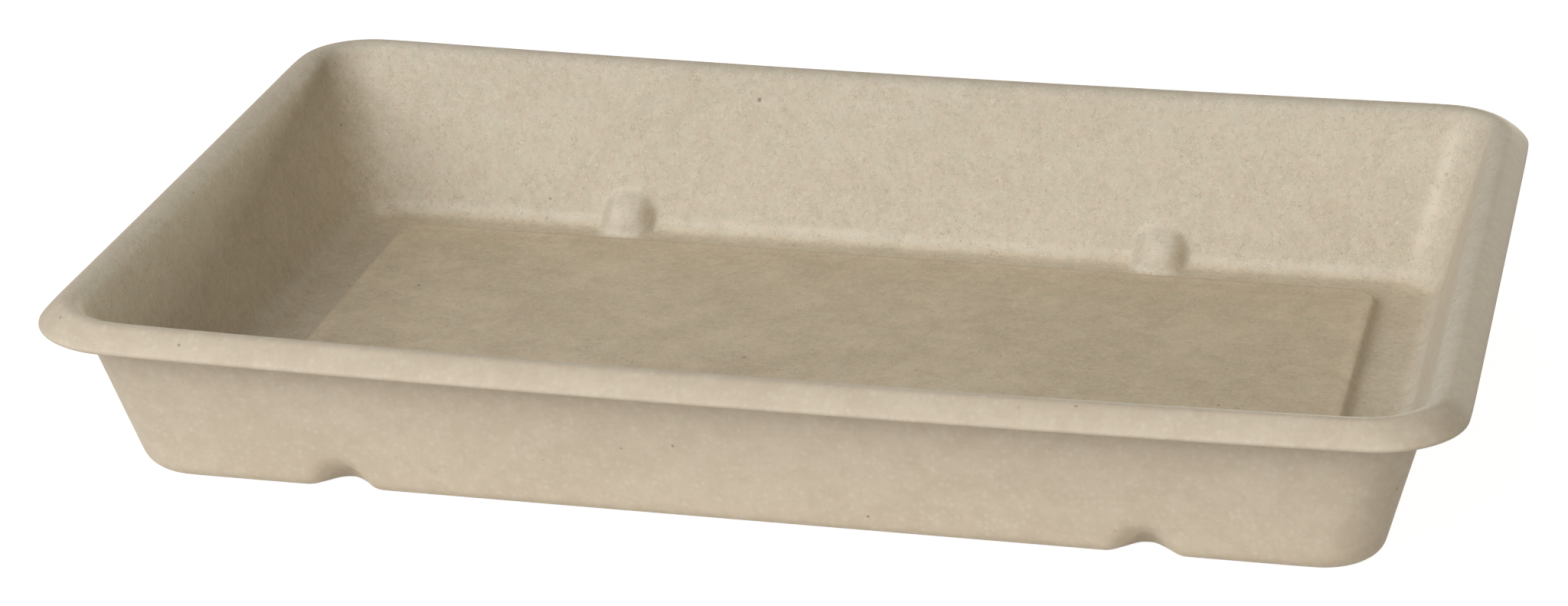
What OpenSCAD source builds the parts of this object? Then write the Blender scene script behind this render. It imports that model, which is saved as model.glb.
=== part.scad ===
// Shallow rectangular meal tray of moulded sugar-cane pulp, made in one piece.
// The wall of even thickness runs from a raised floor panel down a small step to a
// channel, up the drafted walls, over a rounded rim and down to an outward lip.
// Two lugs on each long wall keep stacked trays apart.
// Millimetres. X runs along the tray, Y to the back, Z up from the table.

/* [Overall] */
// Length over the lip
tray_length = 230; // [200:1:260]
// Width over the lip
tray_width = 154; // [130:1:190]
// Height of the rim's crest above the table
tray_height = 31.2; // [27:0.2:40]
// Thickness of the moulded pulp
pulp = 0.9; // [0.6:0.05:1.2]

/* [Rim] */
// From the lip's edge in to the crest
rim_reach = 4.1; // [3.6:0.1:6]
// From the crest down to the lip's lower edge
rim_drop = 3.95; // [3.2:0.05:5]
// Height of the lip's upright cut edge
lip_edge = 0.8; // [0.5:0.05:1.1]
// Radius of the crest on the lip's side
crest_out_r = 2.2; // [1.6:0.1:2.8]
// Radius of the crest on the food's side
crest_in_r = 3.0; // [2:0.1:4]
// Corner radius of the lip, seen from above
lip_corner_r = 14.8; // [12:0.2:18]
// Corner radius of the crest, seen from above
crest_corner_r = 12.6; // [10:0.2:15]

/* [Rim sag] */
// How far the front rim bows down at the middle
front_sag = 1.25; // [0:0.05:2]
// How far the back rim bows down at the middle
back_sag = 0.95; // [0:0.05:2]
// How far the two end rims bow down at the middle
end_sag = 0.25; // [0:0.05:1]

/* [Walls] */
// Lean of the end walls from upright, in degrees
end_draft = 14.1; // [10:0.1:18]
// Lean of the side walls from upright, in degrees
side_draft = 16.2; // [10:0.1:20]
// Corner radius of the walls, seen from above, on the food's side
wall_corner_r = 9; // [7:0.2:11]
// Radius of the cove between wall and channel, on the food's side
cove_r = 4.4; // [3:0.1:5.2]
// Radius between wall and foot, on the outside
foot_r = 3.6; // [2.6:0.1:4.6]

/* [Floor panel] */
// Length of the raised panel
panel_length = 180; // [160:0.5:184]
// Width of the raised panel
panel_width = 103; // [90:0.5:106]
// Rise of the panel above the channel
panel_rise = 2; // [1.6:0.1:2.6]
// Lean of the panel's step from upright, in degrees
step_lean = 25; // [15:1:35]
// Radius of the bends at the top and the bottom of the step
step_r = 0.9; // [0.5:0.05:1.1]
// Corner radius of the panel, seen from above
panel_corner_r = 4.5; // [3:0.1:6]

/* [Stacking lugs] */
// Between the middles of the two lugs on the front wall
front_lug_pitch = 131; // [110:1:150]
// Between the middles of the two lugs on the back wall
back_lug_pitch = 99.6; // [80:1:140]
// Width of a lug's dome at its foot, on the food's side
lug_width = 9.4; // [8:0.2:11]
// How much further than the dome the hollow outside spreads to each side
hollow_margin = 0.95; // [0.7:0.05:1.5]
// Height at which a front lug leaves the wall, above the table
front_lug_top = 7.6; // [7.2:0.1:8.6]
// Height at which a back lug leaves the wall, above the table
back_lug_top = 8.2; // [7.6:0.1:9]
// How far a front lug stands out from the wall at the channel
front_lug_depth = 5.3; // [4.9:0.05:6]
// How far a back lug stands out from the wall at the channel
back_lug_depth = 5.85; // [5.2:0.05:6.3]
// Radius of the bend between the wall and a front lug, on the food's side
front_lug_r = 2.6; // [1.6:0.1:2.8]
// Radius of the bend between the wall and a back lug, on the food's side
back_lug_r = 0.8; // [0.5:0.1:1.4]
// Tilt of a front lug's ramp from upright, in degrees
front_lug_tilt = 61; // [58:1:64]
// Tilt of a back lug's ramp from upright, in degrees
back_lug_tilt = 70; // [66:1:73]

/* [Smoothness] */
// Steps round each quarter corner
corner_steps = 6; // [4:1:8]
// Steps along the long walls between the two lugs
span_steps = 6; // [4:1:8]
// Steps along each end wall
end_steps = 4; // [3:1:6]

/* [Hidden] */

PULP_COLOUR = [0.78, 0.73, 0.64];

half_length = tray_length / 2;
half_width = tray_width / 2;
half_panel_length = panel_length / 2;
half_panel_width = panel_width / 2;
panel_top = pulp + panel_rise;
lug_half = lug_width / 2;
front_lug = [front_lug_top, front_lug_depth, front_lug_r, front_lug_tilt];
back_lug = [back_lug_top, back_lug_depth, back_lug_r, back_lug_tilt];
// Tilt of a lug's face at its foot, from upright
LUG_FOOT_TILT = 12;
// The higher lugs leave the wall at this level, and a little above it no bend of a lug
// is left in the wall
LUG_FADE = 1.3;
lug_level = max(front_lug_top, back_lug_top);
lug_clear = lug_level + LUG_FADE;
// Steps of the bends: cove and foot, step, crest inwards and crest outwards
cove_steps = 5;
step_steps = 2;
crest_in_steps = 5;
crest_out_steps = 4;
under_steps = 3;
// Steps of the low wall above the cove, and of a lug's dome and bend in the same rings
low_wall_steps = 3;
dome_steps = 4;
bend_steps = low_wall_steps + cove_steps - dome_steps - 1;
low_count = cove_steps + low_wall_steps + 1;
// A dome is half an ellipse seen from above, up to this share of its half width, and
// runs out into the wall at the next one
ELLIPSE_END = 0.88;
DOME_END = 1.12;
hollow_half = lug_half * DOME_END + hollow_margin;
// How much narrower the dome and the hollow are at their top than at their foot, and how
// late on the way up they become so
DOME_NARROWING = 0.85;
HOLLOW_NARROWING = 0.6;
NARROWING_POWER = 3;
// Places across one half of a lug
LUG_SHARES = [0.4, 0.7, ELLIPSE_END, 0.98, DOME_END];
half_places = concat([for (s = LUG_SHARES) lug_half * s], [hollow_half]);

// Bends and straight lines of a section
function arc(centre, r, a0, a1, steps) =
    [for (i = [0 : steps]) let (a = a0 + (a1 - a0) * i / steps)
        [centre[0] + r * cos(a), centre[1] + r * sin(a)]];
function blend(a, b, share) = a + (b - a) * share;
function flip(list) = [for (i = [len(list) - 1 : -1 : 0]) list[i]];
function tail(list) = [for (i = [1 : len(list) - 1]) list[i]];

// The inner wall line: its distance from the middle at height z. It touches the crest's
// inner bend, so it follows from the overall size, the rim and the draft.
function crest_at(half) = half - rim_reach;
function wall_foot(half, draft) =
    crest_at(half) - tray_height * tan(draft) - crest_in_r * (1 - sin(draft)) / cos(draft);
function wall_at(half, draft, z) = wall_foot(half, draft) + z * tan(draft);
function face_at(half, draft, z, skin) = wall_at(half, draft, z) + skin * pulp / cos(draft);

// The step between the panel and the channel, from the panel's edge outwards
function step_bends(panel, high, low) = let (
        turn = step_r * tan((90 - step_lean) / 2),
        base = panel + (high - low) * tan(step_lean))
    concat(
        arc([panel - turn, high - step_r], step_r, 90, step_lean, step_steps),
        arc([base + turn, low + step_r], step_r, 180 + step_lean, 270, step_steps));
function upper_step(panel) = step_bends(panel, panel_top, pulp);
function under_step(panel) =
    step_bends(panel - pulp * (1 - sin(step_lean)) / cos(step_lean), panel_rise, 0);

// The bend between a wall line and a level floor, from the wall down to the floor
function floor_bend(wall_u, level, draft, r) = let (
        centre = [wall_u + r * tan(draft) - r / cos(draft), level + r])
    arc(centre, r, -draft, -90, cove_steps);

// Slope of the rim from the crest's outer bend to the lip, in degrees below level
lip_rise = (tray_height - crest_out_r) - (tray_height - rim_drop + lip_edge);
lip_slope = atan2(lip_rise, rim_reach) + asin(crest_out_r / norm([rim_reach, lip_rise]));

// The crest and the lip, from the inner wall out, then back under the sheet
function crest_over(half, draft) = let (u = crest_at(half)) concat(
    arc([u, tray_height - crest_in_r], crest_in_r, 180 - draft, 90, crest_in_steps),
    tail(arc([u, tray_height - crest_out_r], crest_out_r, 90, 90 - lip_slope, crest_out_steps)),
    [[half, tray_height - rim_drop + lip_edge]]);
function crest_under(half, draft) = let (u = crest_at(half)) concat(
    [[half, tray_height - rim_drop]],
    arc([u, tray_height - crest_out_r], crest_out_r - pulp, 90 - lip_slope, 90, under_steps),
    tail(arc([u, tray_height - crest_in_r], crest_in_r - pulp, 90, 180 - draft, under_steps)));

// Heights of the rings in the open part of the walls
wall_levels = [lug_clear, (lug_clear + tray_height) / 2];

// Channel, cove and lower wall of one skin, from the floor up: skin 0 is the food's side
function low_wall(half, draft, skin) = let (
        r = skin == 0 ? cove_r : foot_r,
        level = pulp * (1 - skin),
        cove_top = level + r * (1 - sin(draft)))
    concat(
        flip(floor_bend(face_at(half, draft, level, skin), level, draft, r)),
        [for (k = [1 : low_wall_steps]) let (z = blend(cove_top, lug_level, k / low_wall_steps))
            [face_at(half, draft, z, skin), z]]);

// The same stretch at the middle of a lug: up from its foot over the dome, along a
// straight ramp and round the bend to the wall. The ramp's length and the dome's radius
// follow from where the lug starts and ends.
function low_lug(half, draft, lug, skin) = let (
        top = lug[0],
        bend_r = lug[2],
        tilt = lug[3],
        top_u = wall_at(half, draft, top),
        foot_u = wall_at(half, draft, pulp) - lug[1],
        run = top_u - foot_u - bend_r * (cos(draft) - cos(tilt)),
        drop = top - pulp - bend_r * (sin(tilt) - sin(draft)),
        dome_r = (drop * sin(tilt) - run * cos(tilt)) / (1 - cos(tilt - LUG_FOOT_TILT)),
        dome_centre = [foot_u + dome_r * cos(LUG_FOOT_TILT), pulp - dome_r * sin(LUG_FOOT_TILT)],
        bend_centre = [top_u - bend_r * cos(draft), top + bend_r * sin(draft)],
        dome = arc(dome_centre, dome_r - skin * pulp, 180 - LUG_FOOT_TILT, 180 - tilt, dome_steps),
        level = pulp * (1 - skin))
    concat(
        [[dome[0][0] - (dome[0][1] - level) * tan(LUG_FOOT_TILT), level]],
        tail(dome),
        arc(bend_centre, bend_r + skin * pulp, -tilt, -draft, bend_steps));

// One whole section from the panel's edge over the rim and back under the panel
function section(half, panel, draft, lug = []) = concat(
    upper_step(panel),
    len(lug) > 0 ? low_lug(half, draft, lug, 0) : low_wall(half, draft, 0),
    [for (z = wall_levels) [face_at(half, draft, z, 0), z]],
    crest_over(half, draft),
    crest_under(half, draft),
    [for (z = flip(wall_levels)) [face_at(half, draft, z, 1), z]],
    flip(len(lug) > 0 ? low_lug(half, draft, lug, 1) : low_wall(half, draft, 1)),
    flip(under_step(panel)));

end_section = section(half_length, half_panel_length, end_draft);
side_section = section(half_width, half_panel_width, side_draft);
front_lug_section = section(half_width, half_panel_width, side_draft, front_lug);
back_lug_section = section(half_width, half_panel_width, side_draft, back_lug);
ring_count = len(end_section);

// Corner radius of each ring. The panel's corner is concentric, the walls keep one
// radius, and the rim's corner opens out towards the lip.
step_count = 2 * (step_steps + 1);
crest_first = step_count + low_count + len(wall_levels);
crest_last = ring_count - crest_first - 1;
function panel_radius(u) = panel_corner_r + (u - half_panel_length);
function wall_radius(u, line_u, skin) = wall_corner_r + skin - max(0, line_u - u);
function rim_radius(u) = lookup(half_length - u, [
    [0, lip_corner_r],
    [rim_reach, crest_corner_r],
    [rim_reach + crest_in_r * cos(end_draft), wall_corner_r]]);
function ring_radius(i) = let (u = end_section[i][0], z = end_section[i][1])
    i < step_count || i >= ring_count - step_count ? panel_radius(u)
    : i < crest_first ? wall_radius(u, face_at(half_length, end_draft, z, 0), 0)
    : i > crest_last ? wall_radius(u, face_at(half_length, end_draft, z, 1), pulp)
    : rim_radius(u);

// The rim's bow, which fades out down the wall
function bow(share) = 1 - share * share;
function sagged(x, y, z, end_share) = let (
        side_sag = y < 0 ? front_sag : back_sag,
        sag = end_share * end_sag * bow(y / half_width)
            + (1 - end_share) * side_sag * bow(x / half_length))
    z - sag * max(0, z - lug_clear) / (tray_height - lug_clear);

// Share of a dome's depth at s half widths from its middle
function dome_share(s) = let (
        rise = sqrt(1 - ELLIPSE_END * ELLIPSE_END),
        span = DOME_END - ELLIPSE_END,
        k = (s - ELLIPSE_END) / span)
    s <= ELLIPSE_END ? sqrt(1 - s * s)
    : s >= DOME_END ? 0
    : (rise * (1 + 2 * k) - ELLIPSE_END / rise * span * k) * (1 - k) * (1 - k);
// Share of a hollow's depth: a soft bell
function hollow_share(s) = s >= 1 ? 0 : (1 + cos(180 * s)) / 2;
// Share of a lug at place x of ring i, on a wall whose lugs are at plus and minus middle.
// How far up the lug the ring is decides how narrow the lug is there.
function lug_share(x, middle, i) = let (
        inside = i < ring_count / 2,
        off = abs(abs(x) - middle),
        from_foot = inside ? i - step_count : ring_count - step_count - 1 - i,
        up = pow(min(max(from_foot / (low_count - 1), 0), 1), NARROWING_POWER))
    inside
        ? dome_share(off / (lug_half * sqrt(1 - DOME_NARROWING * up)))
        : hollow_share(off / (hollow_half * sqrt(1 - HOLLOW_NARROWING * up)));

// Places along a long wall: even spans, with closer ones across the two lugs
function lug_places(middle) = concat(
    [for (p = flip(half_places)) middle - p], [middle], [for (p = half_places) middle + p]);
function side_places(reach, middle) = let (inside = middle - hollow_half) concat(
    [(-reach - middle - hollow_half) / 2],
    lug_places(-middle),
    [for (k = [1 : span_steps - 1]) -inside + 2 * inside * k / span_steps],
    lug_places(middle),
    [(reach + middle + hollow_half) / 2]);

// One ring, counter-clockwise from the front left corner
function quarter(i, a0) = let (
        r = ring_radius(i),
        end_u = end_section[i][0],
        side_u = side_section[i][0])
    [for (k = [0 : corner_steps]) let (
        a = a0 + 90 * k / corner_steps,
        mid_a = a0 + 45,
        x = sign(cos(mid_a)) * (end_u - r) + r * cos(a),
        y = sign(sin(mid_a)) * (side_u - r) + r * sin(a),
        end_share = cos(a) * cos(a),
        z = blend(side_section[i][1], end_section[i][1], end_share))
        [x, y, sagged(x, y, z, end_share)]];
function long_side(i, face, pitch, lug_section) = let (
        reach = end_section[i][0] - ring_radius(i))
    [for (x = side_places(reach, pitch / 2)) let (
        p = blend(side_section[i], lug_section[i], lug_share(x, pitch / 2, i)))
        [-face * x, face * p[0], sagged(x, face * p[0], p[1], 0)]];
function short_side(i, face) = let (
        reach = side_section[i][0] - ring_radius(i))
    [for (k = [1 : end_steps - 1]) let (y = face * reach * (2 * k / end_steps - 1))
        [face * end_section[i][0], y, sagged(half_length, y, end_section[i][1], 1)]];
function ring(i) = concat(
    quarter(i, 180), long_side(i, -1, front_lug_pitch, front_lug_section),
    quarter(i, 270), short_side(i, 1),
    quarter(i, 0), long_side(i, 1, back_lug_pitch, back_lug_section),
    quarter(i, 90), short_side(i, -1));

// The closed shell: rings joined in order, and a fan from the middle of each panel face
module shell() {
    rings = [for (i = [0 : ring_count - 1]) ring(i)];
    n = len(rings[0]);
    last = (ring_count - 1) * n;
    top_middle = ring_count * n;
    under_middle = top_middle + 1;
    polyhedron(
        points = concat(
            [for (r = rings) each r],
            [[0, 0, panel_top], [0, 0, panel_rise]]),
        faces = concat(
            [for (k = [0 : n - 1]) [top_middle, (k + 1) % n, k]],
            [for (k = [0 : n - 1]) [under_middle, last + k, last + (k + 1) % n]],
            [for (i = [0 : ring_count - 2], k = [0 : n - 1], half = [0, 1]) let (
                a = i * n + k,
                b = i * n + (k + 1) % n,
                c = b + n,
                d = a + n)
                half == 0 ? [a, b, c] : [a, c, d]]),
        convexity = 6);
}

module tray() {
    color(PULP_COLOUR)
        shell();
}

tray();
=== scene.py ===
# %% [markdown]
# # A meal tray of moulded plant pulp
#
# The real object is one sheet of sugar-cane pulp, 0.9 mm thick, pressed hot between two
# metal tools. It has a raised floor panel, a channel round it, four leaning walls, a
# rounded rim that turns out and down, and four lugs that keep stacked trays apart.
#
# The CAD frame already holds the tray as an engineering solid. This lesson makes the same
# sheet again as a smooth mesh of four-sided faces, gives it the soft edges and the slight
# unevenness of pressed pulp, and then gives it the pulp's own finish.

import bmesh
import bpy
import math
from mathutils import Matrix, Vector, noise


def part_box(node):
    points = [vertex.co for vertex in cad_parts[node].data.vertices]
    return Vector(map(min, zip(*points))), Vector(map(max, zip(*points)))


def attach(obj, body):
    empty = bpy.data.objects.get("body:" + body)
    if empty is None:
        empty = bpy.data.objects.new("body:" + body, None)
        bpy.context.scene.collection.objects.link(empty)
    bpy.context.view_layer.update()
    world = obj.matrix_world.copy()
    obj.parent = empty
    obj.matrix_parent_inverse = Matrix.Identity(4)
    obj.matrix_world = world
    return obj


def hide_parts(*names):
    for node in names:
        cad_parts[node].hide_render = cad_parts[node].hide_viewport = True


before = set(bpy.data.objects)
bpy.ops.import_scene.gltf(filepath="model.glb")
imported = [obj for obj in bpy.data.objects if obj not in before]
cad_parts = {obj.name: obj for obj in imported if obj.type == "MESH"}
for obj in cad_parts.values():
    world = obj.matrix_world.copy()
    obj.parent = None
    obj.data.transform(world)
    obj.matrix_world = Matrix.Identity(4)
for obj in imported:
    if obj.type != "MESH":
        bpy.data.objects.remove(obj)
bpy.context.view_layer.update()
bpy.context.scene.view_settings.view_transform = "Standard"
tray_low, tray_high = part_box("tray")
MM = 0.001
print("CAD tray box, mm:", [round((b - a) / MM, 2) for a, b in zip(tray_low, tray_high)])

# %% [markdown]
# ## The camera
#
# The photograph was taken with a long lens from the front, a little to the right and
# 22 degrees above the table. A long lens keeps the two ends of the tray nearly parallel.
# Three turns place the camera: the bearing round the tray, the tilt down, and a small
# roll, because the photograph isn't quite level.

# %% Place the camera
CAMERA_PLACE = Vector((154.42, -694.53, 296.15)) * MM
CAMERA_BEARING = math.radians(13.015)
CAMERA_TILT = math.radians(21.656)
CAMERA_ROLL = math.radians(-0.737)

camera_data = bpy.data.cameras.new("photo_camera")
camera_data.sensor_fit = "HORIZONTAL"
camera_data.sensor_width = 36.0
camera_data.lens = 102.98
camera_data.clip_start = 0.05
camera_data.clip_end = 20.0
camera = bpy.data.objects.new("photo_camera", camera_data)
bpy.context.scene.collection.objects.link(camera)
camera.matrix_world = (
    Matrix.Translation(CAMERA_PLACE)
    @ Matrix.Rotation(CAMERA_BEARING, 4, "Z")
    @ Matrix.Rotation(math.pi / 2 - CAMERA_TILT, 4, "X")
    @ Matrix.Rotation(CAMERA_ROLL, 4, "Z"))
bpy.context.scene.camera = camera
print("camera is", round(CAMERA_PLACE.length, 3), "m from the tray")

# %% [markdown]
# ## The table
#
# A white sheet of studio paper. The camera sees it as white, and the object is lit by the
# light that it throws back, so it stays a plain matt surface for every other ray. A part
# of what the camera sees is still the lit surface, so the tray keeps a soft shadow.


# %% Lay the studio paper
def plain_material(name):
    """A material with an output node and nothing else."""
    material = bpy.data.materials.new(name)
    material.use_nodes = True
    nodes = material.node_tree.nodes
    nodes.clear()
    output = nodes.new("ShaderNodeOutputMaterial")
    return material, nodes, material.node_tree.links, output


PAPER_GLOW = 0.93
paper, nodes, links, output = plain_material("studio_paper")
matt = nodes.new("ShaderNodeBsdfDiffuse")
matt.inputs["Color"].default_value = (0.82, 0.82, 0.82, 1)
seen_matt = nodes.new("ShaderNodeBsdfDiffuse")
seen_matt.inputs["Color"].default_value = (0.3, 0.3, 0.3, 1)
glow = nodes.new("ShaderNodeEmission")
glow.inputs["Color"].default_value = (1, 1, 1, 1)
glow.inputs["Strength"].default_value = PAPER_GLOW
seen = nodes.new("ShaderNodeAddShader")
path = nodes.new("ShaderNodeLightPath")
direct = nodes.new("ShaderNodeMath")
direct.operation = "MAXIMUM"
through = nodes.new("ShaderNodeMath")
through.operation = "MAXIMUM"
pick = nodes.new("ShaderNodeMixShader")
links.new(glow.outputs[0], seen.inputs[0])
links.new(seen_matt.outputs[0], seen.inputs[1])
links.new(path.outputs["Is Camera Ray"], direct.inputs[0])
links.new(path.outputs["Is Glossy Ray"], direct.inputs[1])
links.new(direct.outputs[0], through.inputs[0])
links.new(path.outputs["Is Transmission Ray"], through.inputs[1])
links.new(through.outputs[0], pick.inputs["Fac"])
links.new(matt.outputs[0], pick.inputs[1])
links.new(seen.outputs[0], pick.inputs[2])
links.new(pick.outputs[0], output.inputs["Surface"])

bpy.ops.object.select_all(action="DESELECT")
bpy.ops.mesh.primitive_plane_add(size=6, location=(0, 0, tray_low[2]))
floor = bpy.context.active_object
floor.name = "studio_floor"
floor.data.materials.append(paper)
print("floor at z =", round(floor.location.z, 5))

# %% [markdown]
# ## The lights
#
# The photograph shows light from the front and the left: the back wall and the rim's
# front slope are bright, the left wall is dim. Four large soft lamps stand there, at three
# heights, like one wide bank. Their light is a trace cool. A weaker and warmer one fills
# from the right. The rim's right slope is as bright as the floor, though the left wall,
# which faces the same way, is dark: so some light comes in so low from behind that the
# walls shade most of it. A wide low strip gives that, and a card behind the tray helps.
# The places and levels were fitted to the photograph's brightness on the tray's faces.


# %% Set up the studio light
LAMP_DISTANCE = 1.6
SOFTBOX, STRIP = (0.9, 0.9), (1.2, 0.25)
WHITE, COOL = (1, 1, 1), (0.985, 1.0, 1.025)
WARM, CREAM = (1.05, 0.96, 0.80), (1.02, 1.0, 0.88)


def soft_lamp(name, bearing, height, size, watts, colour):
    """A soft lamp, wide by high, that looks at the tray from a bearing and a height.

    The bearing is 0 at the front and grows to the right. Both angles are in degrees.
    """
    turn, lift = math.radians(bearing), math.radians(height)
    place = Vector((math.sin(turn) * math.cos(lift),
                    -math.cos(turn) * math.cos(lift),
                    math.sin(lift))) * LAMP_DISTANCE
    data = bpy.data.lights.new(name, "AREA")
    data.shape = "RECTANGLE"
    data.size, data.size_y = size
    data.energy = watts
    data.color = colour
    lamp = bpy.data.objects.new(name, data)
    bpy.context.scene.collection.objects.link(lamp)
    lamp.location = place
    lamp.rotation_euler = place.to_track_quat("Z", "Y").to_euler()


for lamp in (("main_softbox", -30, 30, SOFTBOX, 11.7, COOL),
             ("high_softbox", -10, 45, SOFTBOX, 6.0, COOL),
             ("left_softbox", -70, 30, SOFTBOX, 3.0, COOL),
             ("table_softbox", -10, 15, SOFTBOX, 2.0, COOL),
             ("right_softbox", 50, 30, SOFTBOX, 3.4, WARM),
             ("back_card", -150, 30, SOFTBOX, 3.4, WHITE),
             ("back_strip", 165, 5.5, STRIP, 13.0, CREAM)):
    soft_lamp(*lamp)

sky = bpy.data.worlds.new("studio_sky")
sky.use_nodes = True
sky_back = sky.node_tree.nodes["Background"]
sky_back.inputs["Color"].default_value = (1, 1, 1, 1)
sky_back.inputs["Strength"].default_value = 0.01
bpy.context.scene.world = sky

# %% [markdown]
# ## The section of the sheet
#
# Every upright cut through the tray shows the same profile: panel, step, channel, cove,
# wall, crest, slope, lip, and the underside back again. It is written here as a list of
# levels. At each level a wall line or a bend says how far the sheet stands from the
# middle, for the two ends and for the two sides, because their walls lean differently.

# %% Sizes of the tray, in millimetres
LENGTH, WIDTH, HEIGHT, SHEET = 230.0, 154.0, 31.2, 0.9
HALF_LENGTH, HALF_WIDTH = LENGTH / 2, WIDTH / 2
END_LEAN, SIDE_LEAN = math.radians(14.1), math.radians(16.2)
PANEL_HALF_LENGTH, PANEL_HALF_WIDTH, PANEL_RISE = 90.0, 51.5, 2.0
PANEL_CORNER, STEP_LEAN, STEP_BEND = 4.5, math.radians(25), 0.9
WALL_CORNER, COVE_BEND, FOOT_BEND = 9.0, 4.4, 3.6
RIM_REACH, RIM_DROP, LIP_EDGE = 4.1, 3.95, 0.8
CREST_OUT, CREST_IN = 2.2, 3.0
LIP_CORNER, CREST_CORNER = 14.8, 12.6
FRONT_LUGS, BACK_LUGS = 65.5, 49.8
LUG_HALF, HOLLOW_HALF, LUG_REACH = 4.7, 6.2, 8.2
FRONT_SAG, BACK_SAG, END_SAG = 1.25, 0.95, 0.25
print("sheet", SHEET, "mm, panel rises", PANEL_RISE, "mm")


# %% Wall lines and bends
def wall_foot(half, lean):
    """Where the inner wall line meets the table, so that it touches the crest's bend."""
    return half - RIM_REACH - HEIGHT * math.tan(lean) \
        - CREST_IN * (1 - math.sin(lean)) / math.cos(lean)


def wall_line(half, lean, z, skin):
    """Distance of a wall's face from the middle: skin 0 is the inside, 1 the outside."""
    return wall_foot(half, lean) + z * math.tan(lean) + skin * SHEET / math.cos(lean)


def reach_at(half, lean, z, skin):
    """Distance of the sheet from the middle at level z, with its cove and crest bends."""
    level = SHEET * (1 - skin)
    bend = FOOT_BEND if skin else COVE_BEND
    if z < level + bend * (1 - math.sin(lean)):
        middle = wall_line(half, lean, level, skin) \
            + bend * math.tan(lean) - bend / math.cos(lean)
        drop = level + bend - z
        return middle + math.sqrt(max(bend * bend - drop * drop, 0))
    crest = CREST_IN - skin * SHEET
    rise = z - (HEIGHT - CREST_IN)
    if rise > crest * math.sin(lean):
        return half - RIM_REACH - math.sqrt(max(crest * crest - rise * rise, 0))
    return wall_line(half, lean, z, skin)


def sweep(start, end, steps):
    """Angles from start to end in even steps, in degrees, given back in radians."""
    return [math.radians(start + (end - start) * k / steps) for k in range(steps + 1)]


for z in (5, 15, 25):
    print("inside at", z, "mm:", round(reach_at(HALF_LENGTH, END_LEAN, z, 0), 2),
          round(reach_at(HALF_WIDTH, SIDE_LEAN, z, 0), 2))

# %% [markdown]
# ## The list of rings
#
# The sheet is lofted from level rings, each a rectangle with round corners. A ring needs
# four numbers: half its length, half its width, its corner's radius and its height. The
# ring at the lip has the widest corner, and the panel's has the tightest.


# %% Rings of the panel's step and the channel
def step_rings(skin):
    """The bent step from the panel's edge down to the channel, on one skin."""
    high = SHEET * (1 - skin) + PANEL_RISE
    low = SHEET * (1 - skin)
    back = skin * SHEET * (1 - math.sin(STEP_LEAN)) / math.cos(STEP_LEAN)
    turn = STEP_BEND * math.tan((math.pi / 2 - STEP_LEAN) / 2)
    run = (high - low) * math.tan(STEP_LEAN)
    rings = []
    lean = math.degrees(STEP_LEAN)
    for a in sweep(90, lean, 2):
        out = STEP_BEND * math.cos(a) - turn - back
        rings.append((out, high - STEP_BEND + STEP_BEND * math.sin(a)))
    for a in sweep(180 + lean, 270, 2):
        out = run + turn + STEP_BEND * math.cos(a) - back
        rings.append((out, low + STEP_BEND + STEP_BEND * math.sin(a)))
    return [(PANEL_HALF_LENGTH + out, PANEL_HALF_WIDTH + out, PANEL_CORNER + out, z)
            for out, z in rings]


print("step, inside:", len(step_rings(0)), "rings; channel starts",
      round(step_rings(0)[-1][0], 2), "mm from the middle")


# %% Rings of the walls
def low_levels(skin):
    """Levels from the channel up to where the lugs leave the wall: a cove, then wall."""
    level = SHEET * (1 - skin)
    bend = FOOT_BEND if skin else COVE_BEND
    top = LUG_REACH - skin * SHEET * math.sin(SIDE_LEAN)
    cove = [level + bend * (1 - math.cos(a)) for a in sweep(0, 75, 5)]
    return cove + [cove[-1] + (top - cove[-1]) * k / 4 for k in range(1, 5)]


def wall_ring(z, skin):
    """A ring of the cove or the wall, at level z."""
    ends = reach_at(HALF_LENGTH, END_LEAN, z, skin)
    sides = reach_at(HALF_WIDTH, SIDE_LEAN, z, skin)
    short = wall_line(HALF_LENGTH, END_LEAN, z, skin) - ends
    corner = WALL_CORNER + skin * SHEET - max(short, 0)
    return ends, sides, corner, z


high_levels = [10.6, 13.5, 16.8, 20.2, 24]
inner_walls = [wall_ring(z, 0) for z in low_levels(0) + high_levels]
outer_walls = [wall_ring(z, 1) for z in low_levels(1) + high_levels]
print("walls:", len(inner_walls), "rings inside,", len(outer_walls), "outside")


# %% Rings of the rim
def rim_corner(reach):
    """The rim's corner opens out from the wall's radius to the lip's."""
    inward = HALF_LENGTH - reach
    wall_start = RIM_REACH + CREST_IN * math.cos(END_LEAN)
    if inward < RIM_REACH:
        return LIP_CORNER + (CREST_CORNER - LIP_CORNER) * inward / RIM_REACH
    share = min((inward - RIM_REACH) / (wall_start - RIM_REACH), 1)
    return CREST_CORNER + (WALL_CORNER - CREST_CORNER) * share


lip_rise = (HEIGHT - CREST_OUT) - (HEIGHT - RIM_DROP + LIP_EDGE)
SLOPE = math.atan2(lip_rise, RIM_REACH) \
    + math.asin(CREST_OUT / math.hypot(RIM_REACH, lip_rise))
print("the rim slopes", round(math.degrees(SLOPE), 1), "degrees down to the lip")


def rim_ring(inward, z):
    """A ring of the rim, by how far it lies in from the lip's outermost line."""
    reach = HALF_LENGTH - inward
    return reach, HALF_WIDTH - inward, rim_corner(reach), z


def crest_rings(cut, tilt):
    """The crest's bends, from the wall out to a tilt; cut is what the skin lies in."""
    rings = []
    for a in sweep(165, 90, 6):
        rings.append(rim_ring(RIM_REACH - (CREST_IN - cut) * math.cos(a),
                              HEIGHT - CREST_IN + (CREST_IN - cut) * math.sin(a)))
    for a in sweep(90, 90 - tilt, 4)[1:]:
        rings.append(rim_ring(RIM_REACH - (CREST_OUT - cut) * math.cos(a),
                              HEIGHT - CREST_OUT + (CREST_OUT - cut) * math.sin(a)))
    return rings


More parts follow.
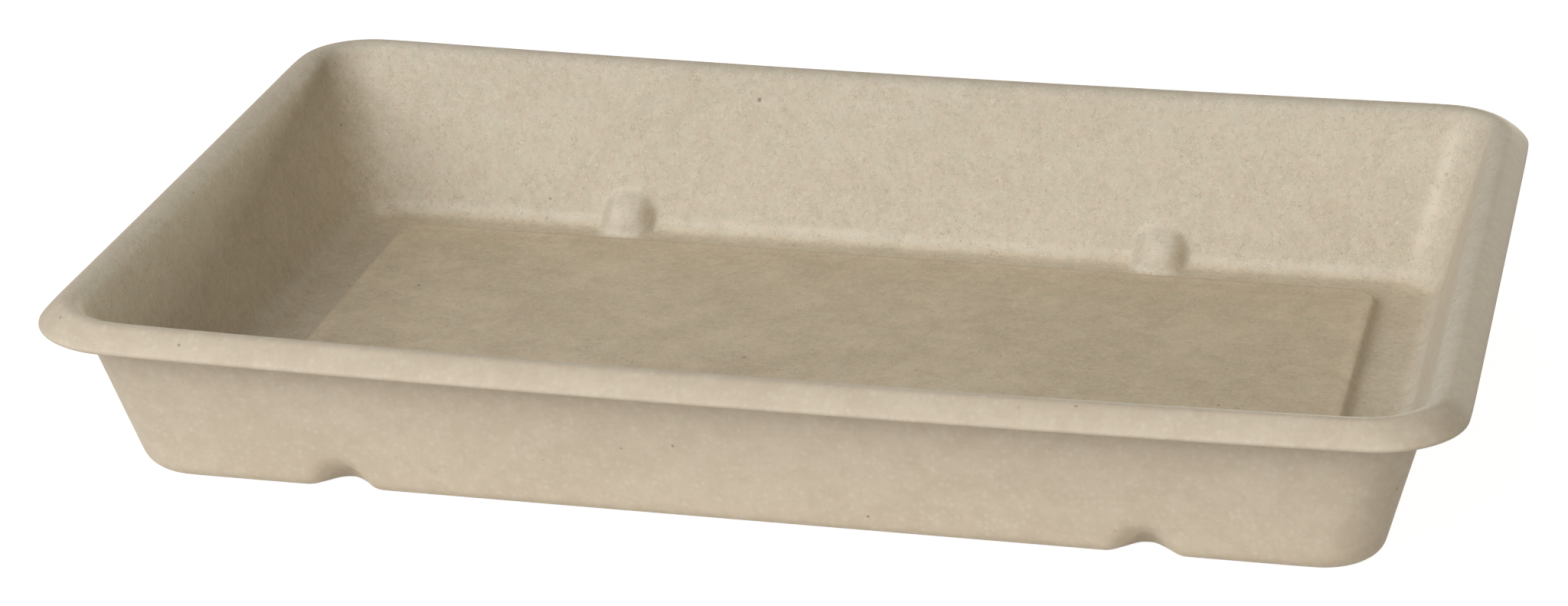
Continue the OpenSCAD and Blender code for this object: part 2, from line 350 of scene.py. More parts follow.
# %% [markdown]
# ### The arched slope and the worn lip
#
# The photograph shows no line where the crest ends and no sharp edge at the lip. So the
# slope is arched a little: its tilt starts at 35 degrees and grows by the same amount on
# both sides of the chord. The lip is worn to a round nose that hangs slightly below the
# CAD's cut edge, and three more rings lead from the nose back to the sheet's underside.

# %% Rings of the slope and the lip
ARCH_START = 35
ARCH_FOOT_IN, ARCH_FOOT_ANGLE = 0.14, 37
NOSE, NOSE_HANG = 0.7, 0.15
NOSE_FOOT = HEIGHT - RIM_DROP - NOSE_HANG
UNDER_NOSE = ((1.05, 0.1), (1.35, 0.55), (1.9, 1.45))

start = math.radians(ARCH_START)
arch_from = (RIM_REACH - CREST_OUT * math.sin(start),
             HEIGHT - CREST_OUT * (1 - math.cos(start)))
arch_to = (ARCH_FOOT_IN, NOSE_FOOT + NOSE * (1 + math.sin(math.radians(ARCH_FOOT_ANGLE))))
chord = math.degrees(math.atan2(arch_from[1] - arch_to[1], arch_from[0] - arch_to[0]))
arch_end = 2 * chord - ARCH_START
arch_bend = math.dist(arch_from, arch_to) / (2 * math.sin(math.radians(chord - ARCH_START)))
print("the slope's arch bends over", round(arch_bend, 1), "mm and ends at",
      round(arch_end, 1), "degrees")

lip_rings = [rim_ring(arch_from[0] - arch_bend * (math.sin(a) - math.sin(start)),
                      arch_from[1] - arch_bend * (math.cos(start) - math.cos(a)))
             for a in sweep(ARCH_START, arch_end, 5)[1:-1]]
lip_rings += [rim_ring(NOSE * (1 - math.cos(a)), NOSE_FOOT + NOSE * (1 + math.sin(a)))
              for a in sweep(90 - arch_end, -90, 8)]
lip_rings += [rim_ring(inward, NOSE_FOOT + rise) for inward, rise in UNDER_NOSE]
over_crest = crest_rings(0, ARCH_START)
under_crest = crest_rings(SHEET, math.degrees(SLOPE))[::-1]

ring_list = (step_rings(0) + inner_walls + over_crest + lip_rings
             + under_crest + outer_walls[::-1] + step_rings(1)[::-1])
print(len(ring_list), "rings in all")

# %% [markdown]
# ## Lofting the sheet
#
# A flat plane is the start of every ring: it is stretched to the ring's size, its four
# corners are bevelled round, and its face is taken away so that only the outline stays.
# The first ring keeps its face, which is the floor panel. Each new ring is bridged at
# once to the open edge before it. Bridging all the rings in one go would let Blender
# choose the pairs, and it would join the two skins where they lie close. Two rings at one
# level would be joined crosswise, so such a ring is bridged a little higher, then lowered.

# %% Draw one ring
CORNER_STEPS = 8


def draw_ring(ends, sides, corner, z):
    """One level rectangle with round corners, added to the mesh in edit mode."""
    bpy.ops.mesh.select_all(action="DESELECT")
    bpy.ops.mesh.primitive_plane_add(size=2 * MM, location=(0, 0, z * MM))
    bpy.ops.transform.resize(value=(ends, sides, 1))
    bpy.ops.mesh.bevel(offset=corner * MM, offset_type="OFFSET", segments=CORNER_STEPS,
                       profile=0.5, affect="VERTICES", clamp_overlap=False)


def select_open_edges():
    """The edges that have fewer than two faces: the loft's open end and a new ring."""
    bpy.ops.mesh.select_all(action="DESELECT")
    bpy.ops.mesh.select_non_manifold()


bpy.ops.object.select_all(action="DESELECT")
tray_mesh = bpy.data.meshes.new("pulp_tray")
tray = bpy.data.objects.new("pulp_tray", tray_mesh)
bpy.context.scene.collection.objects.link(tray)
bpy.context.view_layer.objects.active = tray
tray.select_set(True)
bpy.ops.object.mode_set(mode="EDIT")
bpy.ops.mesh.select_mode(type="VERT")
draw_ring(*ring_list[0])
print("floor panel outline:", len(bmesh.from_edit_mesh(tray_mesh).verts), "points")

# %% Loft the other rings
for before, (ends, sides, corner, z) in zip(ring_list, ring_list[1:]):
    lift = 1.0 if abs(z - before[3]) < 0.01 else 0.0
    draw_ring(ends, sides, corner, z + lift)
    bpy.ops.mesh.delete(type="ONLY_FACE")
    select_open_edges()
    bpy.ops.mesh.bridge_edge_loops()
    select_open_edges()
    bpy.ops.transform.translate(value=(0, 0, -lift * MM))
bpy.ops.mesh.edge_face_add()
print(len(bmesh.from_edit_mesh(tray_mesh).faces), "faces after bridging")

# %% [markdown]
# ## Cross cuts
#
# The loft has long thin faces along the sides. Straight cuts across the tray, closer
# together near the lugs, turn them into even four-sided faces and give the floor panel a
# grid. Every cut passes the straight part of each ring, so the corners stay clean.

# %% Cut the tray across and along
CUT_REACH_X, CUT_REACH_Y = 84.0, 46.0


def cut_places(reach, spacing, closer=()):
    """Even places from -reach to reach, with close ones in the stretches given."""
    places = {round(-reach + 2 * reach * k / round(2 * reach / spacing), 3)
              for k in range(round(2 * reach / spacing) + 1)}
    for middle, half, step in closer:
        places = {p for p in places if abs(abs(p) - middle) > half + 0.6 * spacing / 2}
        count = round(2 * half / step)
        for side in (-1, 1):
            for k in range(count + 1):
                places.add(round(side * middle - half + 2 * half * k / count, 3))
    return sorted(places)


LUG_SPREAD = 6.8
cuts_x = cut_places(CUT_REACH_X, 6.0,
                    ((FRONT_LUGS, LUG_SPREAD, 0.9), (BACK_LUGS, LUG_SPREAD, 0.9)))
cuts_y = cut_places(CUT_REACH_Y, 6.6)
for x in cuts_x:
    bpy.ops.mesh.select_all(action="SELECT")
    bpy.ops.mesh.bisect(plane_co=(x * MM, 0, 0), plane_no=(1, 0, 0))
for y in cuts_y:
    bpy.ops.mesh.select_all(action="SELECT")
    bpy.ops.mesh.bisect(plane_co=(0, y * MM, 0), plane_no=(0, 1, 0))
bpy.ops.mesh.select_all(action="SELECT")
bpy.ops.mesh.remove_doubles(threshold=0.01 * MM)
bpy.ops.mesh.normals_make_consistent(inside=False)
bpy.ops.object.mode_set(mode="OBJECT")
print(len(cuts_x), "cuts across,", len(cuts_y), "along;", len(tray_mesh.polygons), "faces")

# %% [markdown]
# ## The stacking lugs
#
# On the real tray a lug is a small dome pressed into the foot of the long wall. Inside it
# stands out over the channel, outside it is a hollow in the foot. Both skins follow the
# same curve one sheet apart: down the wall, round a small hollow bend, over the dome and
# down to the channel. Seen from above the dome is half an ellipse. The points of the low
# rings are moved onto it, so the mesh needs no new faces.

# %% The lug's curve
# Top on the wall, depth at the foot, bend at the wall, and tilt of the ramp, on the inside.
BACK_LUG = (8.2, 5.85, 0.8, math.radians(70))
FRONT_LUG = (7.6, 5.3, 2.6, math.radians(61))
LUG_FOOT_TILT = math.radians(12)
CURVE_STEPS = 24


def lug_curve(lug, skin):
    """Points from the channel up a lug's middle to the wall, as (distance, height).

    The ramp's length and the dome's bend follow from where the lug starts and ends.
    """
    top, depth, bend, tilt = lug
    lean, foot = SIDE_LEAN, LUG_FOOT_TILT
    u = wall_line(HALF_WIDTH, lean, top, 0)
    run = u - (wall_line(HALF_WIDTH, lean, SHEET, 0) - depth) \
        - bend * (math.cos(lean) - math.cos(tilt))
    drop = top - SHEET - bend * (math.sin(tilt) - math.sin(lean))
    spread = 1 - math.cos(tilt - foot)
    ramp = (run * (math.sin(tilt) - math.sin(foot))
            - drop * (math.cos(foot) - math.cos(tilt))) / spread
    dome = (drop * math.sin(tilt) - run * math.cos(tilt)) / spread
    reach = LUG_REACH - skin * SHEET * math.sin(lean)
    points = [(wall_line(HALF_WIDTH, lean, reach, skin), reach)]
    u, z = u + skin * SHEET * math.cos(lean), top - skin * SHEET * math.sin(lean)
    points.append((u, z))
    for radius, start, end in ((bend + skin * SHEET, lean, tilt), (0, tilt, tilt),
                               (dome - skin * SHEET, tilt, foot)):
        if radius == 0:
            u, z = u - ramp * math.sin(tilt), z - ramp * math.cos(tilt)
            points.append((u, z))
            continue
        step = (end - start) / CURVE_STEPS
        for k in range(CURVE_STEPS):
            a = start + step * (k + 0.5)
            u -= radius * abs(step) * math.sin(a)
            z -= radius * abs(step) * math.cos(a)
            points.append((u, z))
    level = SHEET * (1 - skin)
    points.append((u - (z - level) * math.tan(foot), level))
    return points[::-1]


def along(points, share):
    """The point at a share of a path's length."""
    steps = [math.dist(a, b) for a, b in zip(points, points[1:])]
    left = share * sum(steps)
    for (a, b), step in zip(zip(points, points[1:]), steps):
        if left <= step:
            k = left / step
            return a[0] + (b[0] - a[0]) * k, a[1] + (b[1] - a[1]) * k
        left -= step
    return points[-1]


for name, lug in (("back", BACK_LUG), ("front", FRONT_LUG)):
    print(name, "lug's foot, inside and outside:",
          [[round(c, 2) for c in lug_curve(lug, skin)[0]] for skin in (0, 1)])


# %% Press the lugs
HOLLOW_TAPER, DOME_TAPER = 0.6, 0.85
DOME_BEND, DOME_END = 0.88, 1.12
LUGS_BEYOND, NEAR = 56.0, 0.01


def lug_share(x, middle, skin, up):
    """How much of the depth is left at x: a dome inside, a bell outside.

    The outline grows narrower towards the top, where up is 1. The dome is half an ellipse
    up to its bend, and from there a hollow curve runs out to its end.
    """
    off = abs(abs(x) - middle)
    if skin:
        half = HOLLOW_HALF * math.sqrt(max(1 - HOLLOW_TAPER * up ** 3, 0))
        return (1 + math.cos(math.pi * min(off / half, 1))) / 2
    s = off / (LUG_HALF * math.sqrt(max(1 - DOME_TAPER * up ** 3, 0)))
    if s <= DOME_BEND:
        return math.sqrt(1 - s * s)
    if s >= DOME_END:
        return 0.0
    rise, span = math.sqrt(1 - DOME_BEND * DOME_BEND), DOME_END - DOME_BEND
    slope = -DOME_BEND / rise
    k = (s - DOME_BEND) / span
    return rise * (1 + 2 * k) * (1 - k) ** 2 + slope * span * k * (1 - k) ** 2


LEVELS = [low_levels(skin) for skin in (0, 1)]
CURVES = {front: [lug_curve(FRONT_LUG if front else BACK_LUG, skin) for skin in (0, 1)]
          for front in (True, False)}


def press_lug(point):
    """Move a point of the low wall onto the lug's curve, if a lug is there."""
    x, y, z = (c / MM for c in point.co)
    if z > LUG_REACH + NEAR or abs(y) < LUGS_BEYOND:
        return False
    between = (reach_at(HALF_WIDTH, SIDE_LEAN, max(z, SHEET), 0)
               + reach_at(HALF_WIDTH, SIDE_LEAN, z, 1)) / 2
    skin = int(abs(y) > between or z < SHEET - NEAR)
    levels = LEVELS[skin]
    if z > levels[-1] + NEAR:
        return False
    k = max(j for j in range(len(levels) - 1) if z >= levels[j] - NEAR or j == 0)
    up = (k + (z - levels[k]) / (levels[k + 1] - levels[k])) / (len(levels) - 1)
    share = lug_share(x, FRONT_LUGS if y < 0 else BACK_LUGS, skin, up)
    if share == 0:
        return False
    lug_y, lug_z = along(CURVES[y < 0][skin], up)
    point.co.y = math.copysign(abs(y) + (lug_y - abs(y)) * share, y) * MM
    point.co.z = (z + (lug_z - z) * share) * MM
    return True


moved = sum(press_lug(point) for point in tray_mesh.vertices)
print(moved, "points moved for the four lugs")

# %% [markdown]
# ## The rim's bow
#
# The photograph shows that the long rims hang about a millimetre lower at the middle than
# at the corners. The upper wall goes down with them, and above the lugs the bow fades in.


# %% Bow the rim
CORNER_X, CORNER_Y = 98.0, 60.0


def end_share(x, y):
    """1 along the ends, 0 along the sides, and a smooth turn round the corners."""
    turn = math.atan2(max(abs(y) - CORNER_Y, 0), max(abs(x) - CORNER_X, 0))
    return math.cos(turn) ** 2 if abs(y) > CORNER_Y or abs(x) > CORNER_X else 0.0


def bow(share):
    """1 at the middle of a side and 0 at its ends."""
    return 1 - share * share


for point in tray_mesh.vertices:
    x, y, z = (c / MM for c in point.co)
    share = end_share(x, y)
    side = FRONT_SAG if y < 0 else BACK_SAG
    sag = share * END_SAG * bow(y / HALF_WIDTH) + (1 - share) * side * bow(x / HALF_LENGTH)
    point.co.z -= sag * max(0, z - LUG_REACH) / (HEIGHT - LUG_REACH) * MM
print("rim crest now", round(max(p.co.z for p in tray_mesh.vertices) / MM, 2), "mm high")

# %% [markdown]
# ## Smoothing, and the pulp's unevenness
#
# One level of subdivision rounds every bend. Pressed pulp is never quite flat: it dries
# unevenly, so walls and floor swim by a few hundredths of a millimetre. The swell changes
# so slowly that both skins get nearly the same, and the sheet keeps its thickness. The
# foot and the lip don't move, so that the tray stays inside the CAD's box.

# %% Subdivide the sheet
bpy.ops.object.select_all(action="DESELECT")
tray.select_set(True)
bpy.context.view_layer.objects.active = tray
rounding = tray.modifiers.new("rounding", "SUBSURF")
rounding.levels = 1
rounding.render_levels = 1
bpy.ops.object.modifier_apply(modifier=rounding.name)
bpy.ops.object.shade_smooth()
print(len(tray_mesh.polygons), "faces after subdivision")

# %% Let the sheet swim a little
SWELL, SWELL_SIZE, RIPPLE_SIZE = 0.07, 26.0, 9.0
STILL_FOOT, STILL_LIP, FLOOR_TOP = 0.6, 1.2, 5


def swell(place):
    """A slow noise with a finer one of half its height on it."""
    return noise.noise(place / (SWELL_SIZE * MM)) \
        + 0.5 * noise.noise(place / (RIPPLE_SIZE * MM))


for point in tray_mesh.vertices:
    x, y, z = (c / MM for c in point.co)
    amount = SWELL * swell(point.co)
    edge = min(HALF_LENGTH - abs(x), HALF_WIDTH - abs(y))
    if z < STILL_FOOT or edge < STILL_LIP:
        continue
    if z < FLOOR_TOP:
        point.co.z += amount * MM * min(1, z - STILL_FOOT)
    else:
        point.co.x += math.copysign(amount * MM * end_share(x, y), x)
        point.co.y += math.copysign(amount * MM * (1 - end_share(x, y)), y)
print("swell of up to", round(SWELL * 1.5, 3), "mm")

# %% [markdown]
# ## Two faces of the sheet
#
# The inside shows its fibres sharply. The outside, with the rim's slope, is softer and
# pebbly. A number on each point says which face it belongs to: 0 on the food's side, 1
# outside, and between them over the crest. It goes by how far the point's normal leans
# away from the tray's middle. The floor and the foot change over later than the crest.
#
# The numbers are kept as attributes of the mesh, which the material reads as masks. An
# attribute is looked up by name each time, because a new one can move the others.

# %% Mark the outside
CREST_TURN, FLOOR_TURN, FLOOR_LEVEL, FACES_DOWN = (-0.7, 0.35), (0.1, 0.5), 8, -0.3


def step_up(value, low, high):
    """0 below low, 1 above high, smooth between."""
    k = min(max((value - low) / (high - low), 0), 1)
    return k * k * (3 - 2 * k)


def mark_points(label, value_at):
    """Write a number on every point of the tray and count those above a half."""
    tray_mesh.attributes.new(label, "FLOAT", "POINT")
    marks = tray_mesh.attributes[label].data
    for point, mark in zip(tray_mesh.vertices, marks):
        mark.value = value_at(point)
    print(label, "points:", sum(mark.value > 0.5 for mark in marks))


def outer_share(point):
    """0 on the food's side, 1 outside and below."""
    x, y, z = point.co
    share = end_share(x / MM, y / MM)
    away = math.copysign(point.normal.x, x * point.normal.x) * math.sqrt(share) \
        + math.copysign(point.normal.y, y * point.normal.y) * math.sqrt(1 - share)
    if point.normal.z < FACES_DOWN:
        return 1.0
    return step_up(away, *(CREST_TURN if z > FLOOR_LEVEL * MM else FLOOR_TURN))


mark_points("outer", outer_share)
inner = [1 - mark.value for mark in tray_mesh.attributes["outer"].data]

# %% [markdown]
# ## Painted highlights in the bends
#
# The photograph shows paler bands in the hollow bends of the food's side: along the foot
# of the back wall, up the right back corner and in a narrow strip round the edge of the
# floor panel. They are painted highlights: the light that these bends and the panel's
# rounded edge catch from the lamps is painted into the colour as a paler tone. The
# direction of a point's normal says how far it lies round a bend. The other walls' feet
# and the left corners, which face the lamps less, are marked more weakly, because the
# photograph shows little or nothing there.

# %% Mark the painted highlights in the bends
# Strengths of the painted highlight: full at the back wall's foot, which faces the lamps,
# weaker on the other feet and in the left corners.
BACK_COVE, OTHER_COVE, LEFT_CORNER, PANEL_STRIP = 0.75, 0.2, 0.3, 0.5
COVE_TILTS, COVE_TOP = (12, 30, 50, 66), 9
CORNER_TURNS, CORNER_LEVELS = (0.1, 0.3, 0.35, 0.65), (3, 8, 26, 30)
STRIP_PLACES, PANEL_TOP = (-0.3, 0.3, 1.4, 3.2), (2.5, 4)


def band(value, low, rise, fall, high):
    """1 from rise to fall, 0 below low and above high, smooth between."""
    return step_up(value, low, rise) * (1 - step_up(value, fall, high))


def bend_highlight_share(point):
    """1 where the painted highlight is strongest: in the cove, up a corner or at the panel's
    edge.
    """
    x, y, z = (abs(c) / MM for c in point.co)
    turned = point.normal
    tilt = math.degrees(math.acos(min(max(turned.z, -1), 1)))
    upright = max(math.hypot(turned.x, turned.y), 0.01)
    cove = band(tilt, *COVE_TILTS) * (z < COVE_TOP) \
        * (BACK_COVE if turned.y < -0.7 * upright else OTHER_COVE)
    corner = band(abs(turned.x) / upright, *CORNER_TURNS) * band(z, *CORNER_LEVELS) \
        * step_up(upright, 0.5, 0.8)
    if point.co.x < 0:
        corner *= LEFT_CORNER
    edge = min(PANEL_HALF_LENGTH - x, PANEL_HALF_WIDTH - y)
    strip = band(edge, *STRIP_PLACES) * (PANEL_TOP[0] < z < PANEL_TOP[1])
    return inner[point.index] * max(cove, corner, PANEL_STRIP * strip)


# Painted highlight: how pale each bend is painted where it turns towards the lamps.
mark_points("bend_highlight", bend_highlight_share)

# %% [markdown]
# ## The level floor
#
# The floor is warmer and more clouded than the walls. The warmth is painted shade: the
# warm, deep tone that light bounced round the tray's hollow gives the floor is painted
# into its colour. The clouds are the pulp's own. The panel is marked fully and the
# channel by half.

# %% Mark the level floor
CHANNEL_SHARE, CHANNEL_TOP, PANEL_FROM = 0.5, 1.5, 2.6


def level_share(point):
    """1 on the panel, a half in the channel, 0 on the walls and outside."""
    risen = step_up(point.co.z / MM, CHANNEL_TOP, PANEL_FROM)
    return inner[point.index] * step_up(point.normal.z, 0.7, 1.0) \
        * (point.co.z < FLOOR_TOP * MM) * (CHANNEL_SHARE + (1 - CHANNEL_SHARE) * risen)


# Marks where the floor's painted warm shade and its own clouds go.
mark_points("level", level_share)

# %% [markdown]
# ## The pulp's finish
#
# Close up, the sheet is a felt of short plant fibres. Several things show in the
# photograph: slow clouds where the felt is denser, a fine worm-like grain of pale and
# dark fibres, a few longer dark fibres, pale pebbles outside, and dark specks of stalk.
# Each is a node group that puts out a mask for the colour, and some also for the bump.


# %% Node helpers
def new_group(name, inputs, outputs):
    """An empty shader group with float or vector inputs and outputs."""
    group = bpy.data.node_groups.new(name, "ShaderNodeTree")
    for label, kind, value in inputs:
        socket = group.interface.new_socket(label, in_out="INPUT", socket_type=kind)
        if value is not None:
            socket.default_value = value
    for label, kind in outputs:
        group.interface.new_socket(label, in_out="OUTPUT", socket_type=kind)
    enter = group.nodes.new("NodeGroupInput")
    leave = group.nodes.new("NodeGroupOutput")
    return group, enter, leave


FLOAT, VECTOR = "NodeSocketFloat", "NodeSocketVector"


def math_node(tree, operation, a, b=None, c=None, clamp=False):
    node = tree.nodes.new("ShaderNodeMath")
    node.operation = operation
    node.use_clamp = clamp
    for place, value in enumerate((a, b, c)):
        if value is None:
            continue
        if hasattr(value, "links"):
            tree.links.new(value, node.inputs[place])
        else:
            node.inputs[place].default_value = value
    return node.outputs[0]


def noise_node(tree, vector, scale, detail=2.0, rough=0.5, distortion=0.0):
    node = tree.nodes.new("ShaderNodeTexNoise")
    tree.links.new(vector, node.inputs["Vector"])
    for label, value in (("Scale", scale), ("Detail", detail), ("Roughness", rough),
                         ("Distortion", distortion)):
        if hasattr(value, "links"):
            tree.links.new(value, node.inputs[label])
        else:
            node.inputs[label].default_value = value
    return node


def ramp_between(tree, value, low, high):
    """0 below low, 1 above high, smooth between."""
    node = tree.nodes.new("ShaderNodeMapRange")
    node.interpolation_type = "SMOOTHSTEP"
    tree.links.new(value, node.inputs["Value"])
    for label, number in (("From Min", low), ("From Max", high)):
        if hasattr(number, "links"):
            tree.links.new(number, node.inputs[label])
        else:
            node.inputs[label].default_value = number
    return node.outputs["Result"]


print("node helpers ready")

# %% [markdown]
# ### Clouds
#
# Two slow noises. The larger one is the uneven density of the felt, the smaller one is
# the flocking that pulp shows when it settles on the mould.


# %% Build the cloud group
def build_cloud_group():
    group, enter, leave = new_group(
        "pulp_clouds", [("Vector", VECTOR, None), ("Scale", FLOAT, 60.0)], [("Cloud", FLOAT)])
    slow = noise_node(group, enter.outputs["Vector"], enter.outputs["Scale"], 3, 0.55)
    finer = math_node(group, "MULTIPLY", enter.outputs["Scale"], 5.5)
    flock = noise_node(group, enter.outputs["Vector"], finer, 2, 0.6, 0.4)
    both = math_node(group, "MULTIPLY_ADD", flock.outputs["Fac"], 0.6,
                     math_node(group, "MULTIPLY", slow.outputs["Fac"], 0.4))
    group.links.new(both, leave.inputs["Cloud"])
    return group


cloud_group = build_cloud_group()
print("group", cloud_group.name)

# %% [markdown]
# ### Fibres
#
# A fibre is a short bent stroke. Where a warped noise passes through its middle value it
# draws thin lines; a second noise breaks them into short pieces. The coordinates are
# warped first, so that the strokes curl.


# %% Build the fibre group
def build_fibre_group():
    group, enter, leave = new_group(
        "plant_fibres",
        [("Vector", VECTOR, None), ("Scale", FLOAT, 900.0), ("Width", FLOAT, 0.035),
         ("Gate", FLOAT, 0.5)],
        [("Fibre", FLOAT)])
    lines = noise_node(group, enter.outputs["Vector"], enter.outputs["Scale"], 1, 0.4, 1.6)
    off = math_node(group, "ABSOLUTE", math_node(
        group, "SUBTRACT", lines.outputs["Fac"], 0.5))
    stroke = math_node(group, "SUBTRACT", 1.0, ramp_between(
        group, off, 0.0, enter.outputs["Width"]), clamp=True)
    breaks = noise_node(group, enter.outputs["Vector"],
                        math_node(group, "MULTIPLY", enter.outputs["Scale"], 0.8), 1, 0.5)
    gate = ramp_between(group, breaks.outputs["Fac"], enter.outputs["Gate"],
                        math_node(group, "ADD", enter.outputs["Gate"], 0.1))
    group.links.new(math_node(group, "MULTIPLY", stroke, gate), leave.inputs["Fibre"])
    return group


fibre_group = build_fibre_group()
print("group", fibre_group.name)

# %% [markdown]
# ### Pebbles
#
# Outside, the felt stands in soft pale lumps a little under a millimetre across. Each cell
# of a Voronoi texture holds one, and a random number says how strongly it shows.


# %% Build the pebble group
def build_pebble_group():
    group, enter, leave = new_group(
        "felt_pebbles", [("Vector", VECTOR, None), ("Scale", FLOAT, 800.0)],
        [("Pebble", FLOAT)])
    cells = group.nodes.new("ShaderNodeTexVoronoi")
    group.links.new(enter.outputs["Vector"], cells.inputs["Vector"])
    group.links.new(enter.outputs["Scale"], cells.inputs["Scale"])
    part = group.nodes.new("ShaderNodeSeparateColor")
    group.links.new(cells.outputs["Color"], part.inputs[0])
    lump = math_node(group, "SUBTRACT", 1.0, ramp_between(
        group, cells.outputs["Distance"], 0.12, 0.66), clamp=True)
    strength = ramp_between(group, part.outputs[0], 0.2, 1.1)
    group.links.new(math_node(group, "MULTIPLY", lump, strength), leave.inputs["Pebble"])
    return group


pebble_group = build_pebble_group()
print("group", pebble_group.name)

# %% [markdown]
# ### Specks
#
# Bits of stalk and bark, a third of a millimetre across, far apart. Each cell of a
# Voronoi texture holds one, and only the cells with a high random number show it.


# %% Build the speck group
def build_speck_group():
    group, enter, leave = new_group(
        "stalk_specks",
        [("Vector", VECTOR, None), ("Scale", FLOAT, 260.0), ("Size", FLOAT, 0.1),
         ("Share", FLOAT, 0.15)],
        [("Speck", FLOAT)])
    warp = noise_node(group, enter.outputs["Vector"], 1500.0, 1, 0.5)
    push = group.nodes.new("ShaderNodeVectorMath")
    push.operation = "MULTIPLY_ADD"
    group.links.new(warp.outputs["Color"], push.inputs[0])
    push.inputs[1].default_value = (0.0006, 0.0006, 0.0006)
    group.links.new(enter.outputs["Vector"], push.inputs[2])
    cells = group.nodes.new("ShaderNodeTexVoronoi")
    group.links.new(push.outputs[0], cells.inputs["Vector"])
    group.links.new(enter.outputs["Scale"], cells.inputs["Scale"])
    part = group.nodes.new("ShaderNodeSeparateColor")
    group.links.new(cells.outputs["Color"], part.inputs[0])
    chosen = math_node(group, "LESS_THAN", part.outputs[0], enter.outputs["Share"])
    size = math_node(group, "MULTIPLY", enter.outputs["Size"],
                     math_node(group, "ADD", part.outputs[1], 0.4))
    dot = math_node(group, "SUBTRACT", 1.0, ramp_between(
        group, cells.outputs["Distance"], math_node(group, "MULTIPLY", size, 0.4), size),
        clamp=True)
    group.links.new(math_node(group, "MULTIPLY", dot, chosen), leave.inputs["Speck"])
    return group


speck_group = build_speck_group()
print("group", speck_group.name)

# %% [markdown]
# ### Putting the pulp together
#
# The base colour is the warm grey-beige of unbleached cane. Clouds move it between a
# slightly lighter and a slightly darker tone. Tints follow for the outside, for the floor,
# where a warm painted shade stands in for the light bounced round the tray's hollow, and
# for the bends, where painted highlights make them paler. Then pale and dark fibres draw
# the grain, and specks darken it in places. Clouds, pebbles, pale fibres and a fine grain
# also lift the surface in a small bump. The surface is rough and reflects little.


# %% Build the pulp material
def group_node(tree, group, vector, **values):
    """A group with its inputs set; gives back the mask that it puts out."""
    node = tree.nodes.new("ShaderNodeGroup")
    node.node_tree = group
    tree.links.new(vector, node.inputs["Vector"])
    for label, value in values.items():
        node.inputs[label].default_value = value
    return node.outputs[0]


def point_mark(tree, label):
    """A number that was written on the points of the mesh."""
    node = tree.nodes.new("ShaderNodeAttribute")
    node.attribute_name = label
    return node.outputs["Fac"]


def mix_colour(tree, amount, first, second, kind="MIX"):
    """Two colours, each a value or a socket, mixed by an amount."""
    node = tree.nodes.new("ShaderNodeMix")
    node.data_type = "RGBA"
    node.blend_type = kind
    for label, value in (("Factor", amount), ("A", first), ("B", second)):
        socket = next(s for s in node.inputs if s.name == label and s.enabled)
        if hasattr(value, "links"):
            tree.links.new(value, socket)
        else:
            socket.default_value = value
    return next(s for s in node.outputs if s.enabled)


PULP_LIGHT = (0.697, 0.623, 0.499, 1)
PULP_DARK = (0.645, 0.568, 0.446, 1)
OUTER_TINT = (0.985, 0.94, 0.90, 1)
# Painted warm shade of the floor, for the light bounced round the tray's hollow.
PANEL_WARM_SHADE = (1.05, 0.98, 0.865, 1)
DRIFT_DARK, DRIFT_LIGHT = (0.935, 0.93, 0.92, 1), (1.065, 1.065, 1.07, 1)
ROSY_TINT = (1.022, 0.992, 0.985, 1)
GREEN_TINT = (0.984, 1.006, 1.000, 1)
# Painted highlight: how much paler the bends that face the lamps are painted.
BEND_HIGHLIGHT_TINT = (1.15, 1.16, 1.18, 1)
FIBRE_PALE = (0.840, 0.780, 0.655, 1)
FIBRE_DARK = (0.380, 0.300, 0.200, 1)
SPECK_COLOUR = (0.160, 0.110, 0.065, 1)
BUMP_STRENGTH, BUMP_DEPTH, SHEEN = 0.35, 0.12 * MM, 0.2

pulp = bpy.data.materials.new("cane_pulp")
pulp.use_nodes = True
tree = pulp.node_tree
skin = tree.nodes["Principled BSDF"]
place = tree.nodes.new("ShaderNodeTexCoord").outputs["Object"]
outside, bend, floor_shade_and_clouds = (point_mark(tree, label) for label in ("outer", "bend_highlight", "level"))
cloud = group_node(tree, cloud_group, place, Scale=55.0)
pale = group_node(tree, fibre_group, place, Scale=1250.0, Width=0.07, Gate=0.44)
dark = group_node(tree, fibre_group, place, Scale=1050.0, Width=0.05, Gate=0.44)
strand = group_node(tree, fibre_group, place, Scale=330.0, Width=0.014, Gate=0.53)
pebble = group_node(tree, pebble_group, place, Scale=880.0)
speck = group_node(tree, speck_group, place, Scale=230.0, Size=0.085, Share=0.13)
hue = noise_node(tree, place, 620.0, 1, 0.5)
drift = noise_node(tree, place, 100.0, 4, 0.65, 0.5)


def strength(within, without):
    """A number that differs between the two faces of the sheet."""
    return math_node(tree, "MULTIPLY_ADD", outside, without - within, within)


def amount(mask, within, without):
    """A mask, weighed by a strength for each face of the sheet."""
    return math_node(tree, "MULTIPLY", mask, strength(within, without))


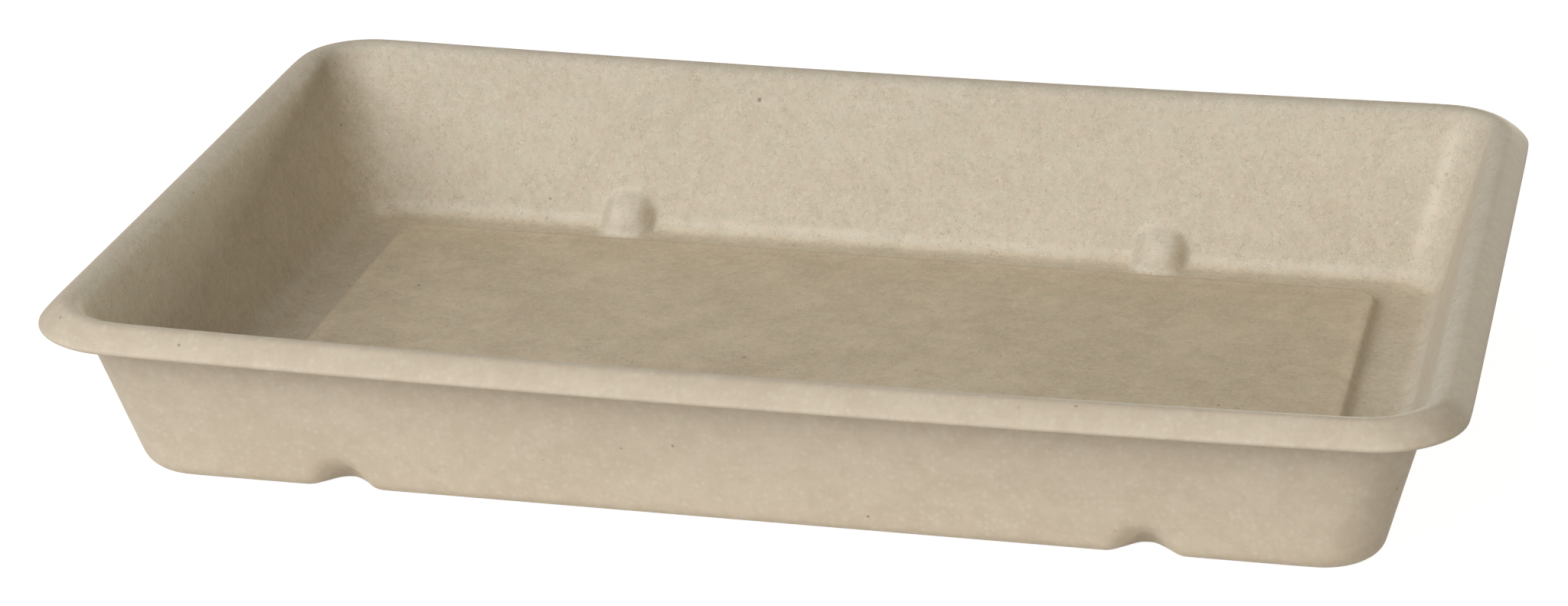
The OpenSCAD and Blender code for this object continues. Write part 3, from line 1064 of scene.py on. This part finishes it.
tone = mix_colour(tree, ramp_between(tree, cloud, 0.36, 0.64), PULP_DARK, PULP_LIGHT)
tint = mix_colour(tree, ramp_between(tree, hue.outputs["Fac"], 0.36, 0.64),
                  GREEN_TINT, ROSY_TINT)
tone = mix_colour(tree, strength(0.75, 0.15), tone, tint, "MULTIPLY")
tone = mix_colour(tree, outside, tone, OUTER_TINT, "MULTIPLY")
# Painted warm shade on the panel and, by half, the channel; the clouds after it are the
# pulp's own.
tone = mix_colour(tree, floor_shade_and_clouds, tone, PANEL_WARM_SHADE, "MULTIPLY")
floor_cloud = mix_colour(tree, ramp_between(tree, drift.outputs["Fac"], 0.3, 0.7),
                         DRIFT_DARK, DRIFT_LIGHT)
tone = mix_colour(tree, floor_shade_and_clouds, tone, floor_cloud, "MULTIPLY")
# Painted highlight in the bends that face the lamps.
tone = mix_colour(tree, bend, tone, BEND_HIGHLIGHT_TINT, "MULTIPLY")
tone = mix_colour(tree, amount(pale, 0.50, 0.10), tone, FIBRE_PALE)
tone = mix_colour(tree, amount(dark, 0.39, 0.10), tone, FIBRE_DARK)
tone = mix_colour(tree, amount(pebble, 0.0, 0.24), tone, FIBRE_PALE)
tone = mix_colour(tree, amount(strand, 0.42, 0.15), tone, FIBRE_DARK)
tone = mix_colour(tree, math_node(tree, "MULTIPLY", speck, 0.6), tone, SPECK_COLOUR)
tree.links.new(tone, skin.inputs["Base Color"])

grain = noise_node(tree, place, 2200.0, 2, 0.6)
height = math_node(tree, "MULTIPLY", cloud, 0.6)
for lump in (amount(grain.outputs["Fac"], 0.6, 0.15), amount(pebble, 0.0, 0.35),
             amount(pale, 0.35, 0.0)):
    height = math_node(tree, "ADD", height, lump)
bump = tree.nodes.new("ShaderNodeBump")
bump.inputs["Strength"].default_value = BUMP_STRENGTH
bump.inputs["Distance"].default_value = BUMP_DEPTH
tree.links.new(height, bump.inputs["Height"])
tree.links.new(bump.outputs["Normal"], skin.inputs["Normal"])
rough = math_node(tree, "MULTIPLY_ADD", cloud, 0.12, 0.56)
tree.links.new(rough, skin.inputs["Roughness"])
skin.inputs["Specular IOR Level"].default_value = SHEEN
tray_mesh.materials.clear()
tray_mesh.materials.append(pulp)
print("material", pulp.name, "with", len(tree.nodes), "nodes")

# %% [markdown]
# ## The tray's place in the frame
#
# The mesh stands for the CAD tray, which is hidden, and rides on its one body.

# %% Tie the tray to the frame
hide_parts("tray")
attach(tray, "root")
